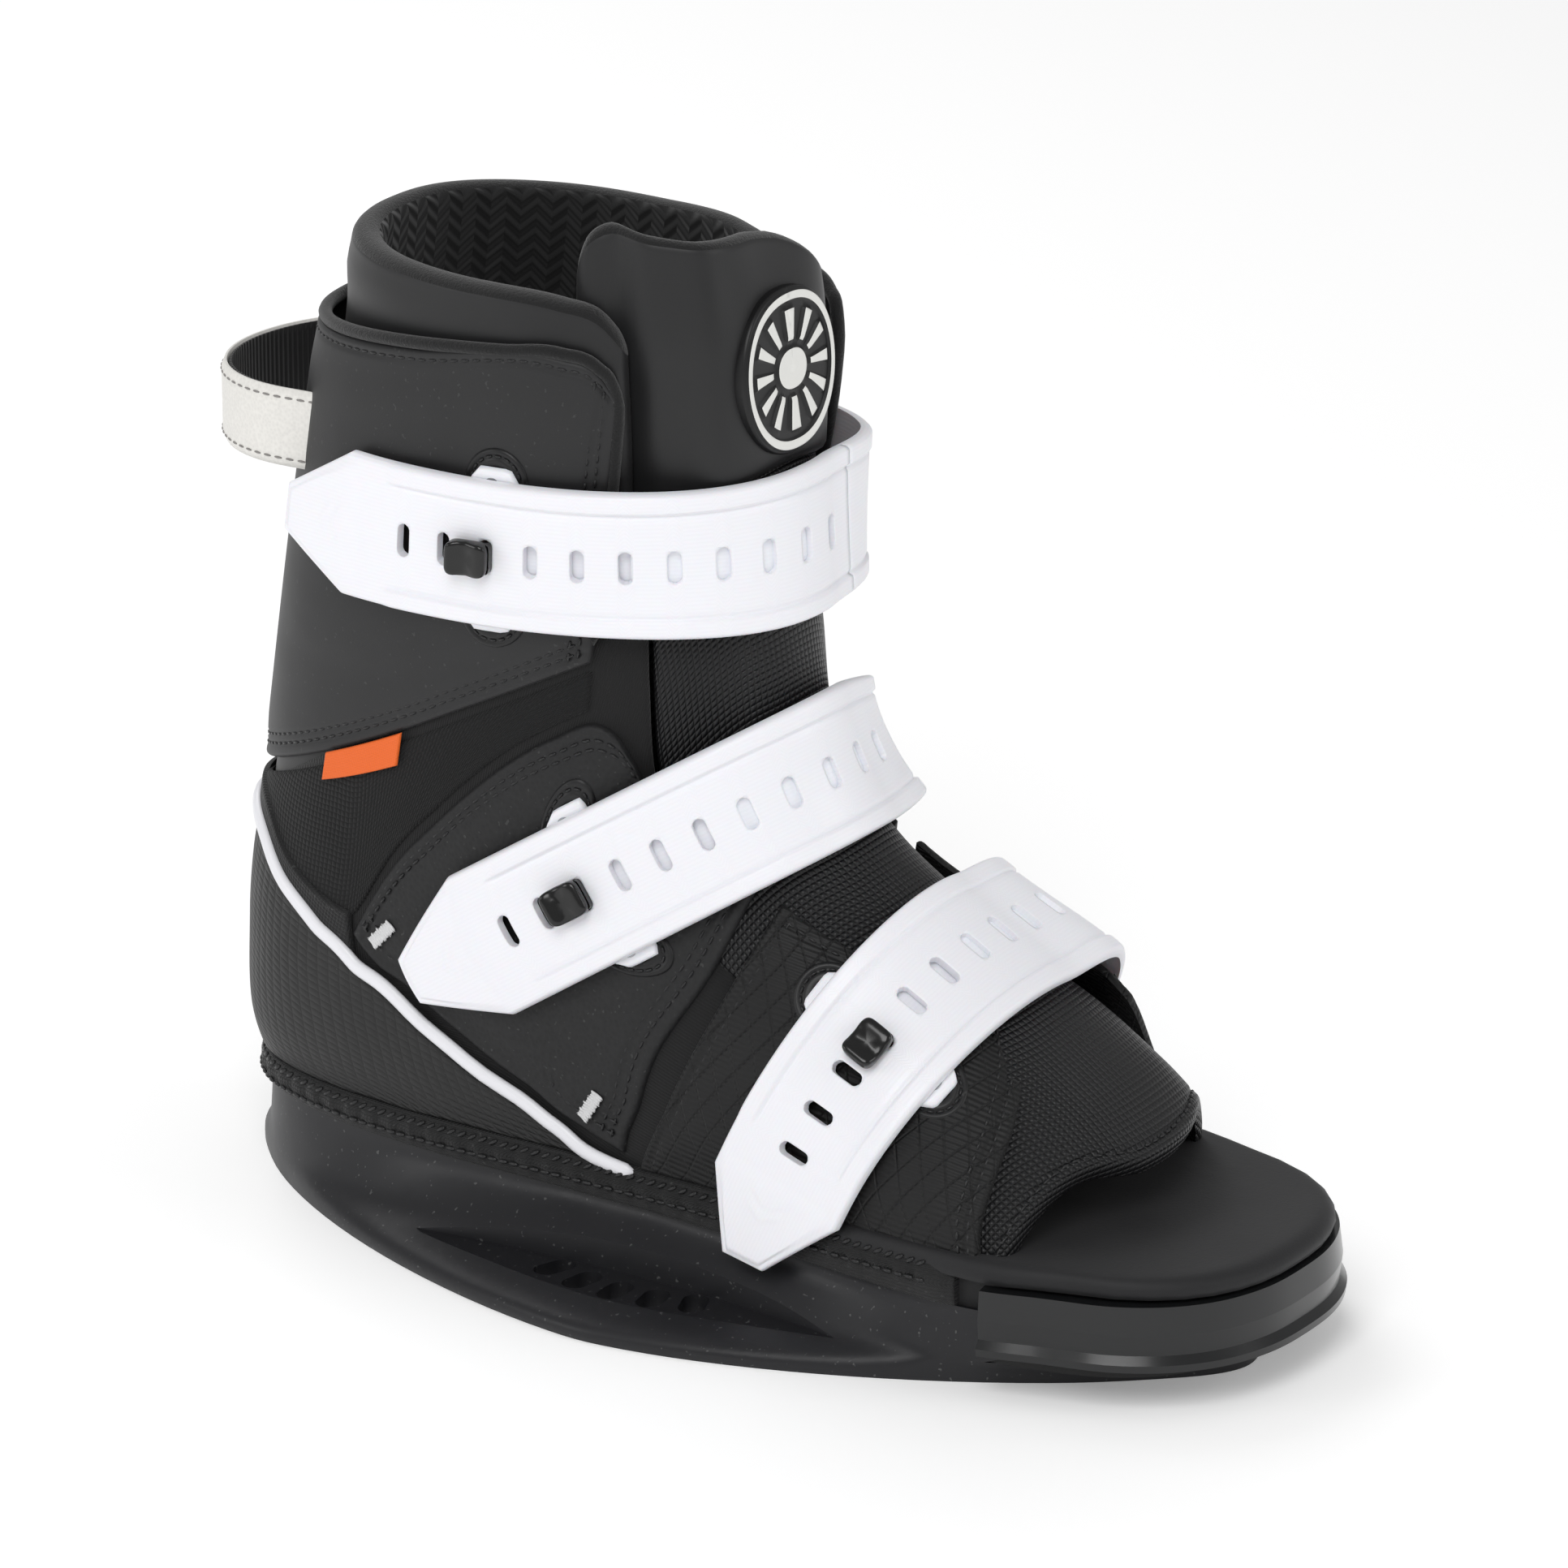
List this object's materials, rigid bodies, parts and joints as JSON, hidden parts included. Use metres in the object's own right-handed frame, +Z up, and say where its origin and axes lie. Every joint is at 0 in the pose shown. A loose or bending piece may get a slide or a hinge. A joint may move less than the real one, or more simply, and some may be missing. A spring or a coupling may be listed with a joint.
{
  "type": "wakeboard binding",
  "caption": "Open-toe strap-on board boot on a flanged base plate: padded cuff, mesh tongue, hook-and-slot straps, rear pull loop.",
  "frame": {"origin": "centre of the screw circle on the underside of the base plate", "axes": "+X to the medial (big toe) side of the right foot, +Y to the heel, +Z up the leg"},
  "size_m": [0.1549, 0.3219, 0.2788],
  "materials": {
    "base_plastic": "moulded glass-filled nylon, matt",
    "bumper_plastic": "moulded TPU, glossy",
    "board": "fibre board",
    "screw_steel": "zinc plated",
    "footbed_foam": "moulded EVA foam",
    "rand_fabric": "folded nylon strip",
    "counter_ripstop": "ripstop-embossed synthetic",
    "cuff_leather": "smooth matt synthetic leather",
    "mesh_knit": "spacer mesh",
    "quarter_synthetic": "textured synthetic leather",
    "forefoot_nylon": "ribbed nylon",
    "liner_foam": "foam sleeve with knit lining",
    "tongue_mesh": "ballistic weave over foam",
    "tongue_leather": "smooth padded synthetic leather",
    "badge_rubber": "two-colour moulded rubber",
    "piping": "extruded TPU piping",
    "tack_thread": "polyester thread",
    "tag_fabric": "woven label, plain",
    "strap_plastic": "moulded TPU, satin",
    "hook_plastic": "moulded acetal",
    "anchor_plastic": "moulded nylon disc",
    "loop_face": "white synthetic leather",
    "loop_lining": "ribbed webbing"
  },
  "bodies": {
    "boot": {"anchor_discs": "anchor_plastic", "anchor_studs": "screw_steel", "bar_tacks": "tack_thread", "base_chassis": "base_plastic", "chassis_screws": "screw_steel", "cuff_lateral": "cuff_leather", "cuff_medial": "cuff_leather", "footbed": "footbed_foam", "forefoot_lateral": "forefoot_nylon", "forefoot_medial": "forefoot_nylon", "heel_counter": "counter_ripstop", "heel_piping": "piping", "hook_middle": "hook_plastic", "hook_toe": "hook_plastic", "hook_top": "hook_plastic", "insole_board": "board", "liner_sleeve": "liner_foam", "mesh_lateral": "mesh_knit", "mesh_medial": "mesh_knit", "pull_loop_tabs": "loop_face", "quarter_lateral": "quarter_synthetic", "quarter_medial": "quarter_synthetic", "rand_strip": "rand_fabric", "side_tag": "tag_fabric", "strap_middle_band": "strap_plastic", "strap_rivets": "screw_steel", "strap_toe_band": "strap_plastic", "strap_top_band": "strap_plastic", "tee_nuts": "screw_steel", "toe_bumper": "bumper_plastic", "tongue_lower": "tongue_mesh", "understrap_middle": "strap_plastic", "understrap_toe": "strap_plastic", "understrap_top": "strap_plastic"},
    "top_tail": {"strap_top_tail": "strap_plastic"},
    "middle_tail": {"strap_middle_tail": "strap_plastic"},
    "toe_tail": {"strap_toe_tail": "strap_plastic"},
    "tongue": {"tongue_top": "tongue_leather", "tongue_badge": "badge_rubber"},
    "loop": {"pull_loop": "loop_face", "pull_loop_lining": "loop_lining"}
  },
  "joints": [
    {"name": "strap_top_open", "type": "hinge", "parent": "boot", "child": "top_tail", "pos_m": [-0.04169, 0.01009, 0.19535], "axis": [-0.0918, -0.0383, 0.995], "range_deg": [0, 70]},
    {"name": "strap_middle_open", "type": "hinge", "parent": "boot", "child": "middle_tail", "pos_m": [-0.03023, -0.00973, 0.1254], "axis": [-0.0756, 0.4831, 0.8723], "range_deg": [0, 70]},
    {"name": "strap_toe_open", "type": "hinge", "parent": "boot", "child": "toe_tail", "pos_m": [-0.00541, -0.06774, 0.09428], "axis": [-0.033, 0.8417, 0.5389], "range_deg": [0, 55]},
    {"name": "tongue_tip", "type": "hinge", "parent": "boot", "child": "tongue", "pos_m": [0, -0.0134, 0.2134], "axis": [1, 0, 0], "range_deg": [0, 18]},
    {"name": "loop_swing", "type": "hinge", "parent": "boot", "child": "loop", "pos_m": [0, 0.121, 0.212], "axis": [1, 0, 0], "range_deg": [-25, 25], "stiffness_Nm_per_rad": 0.05}
  ]
}
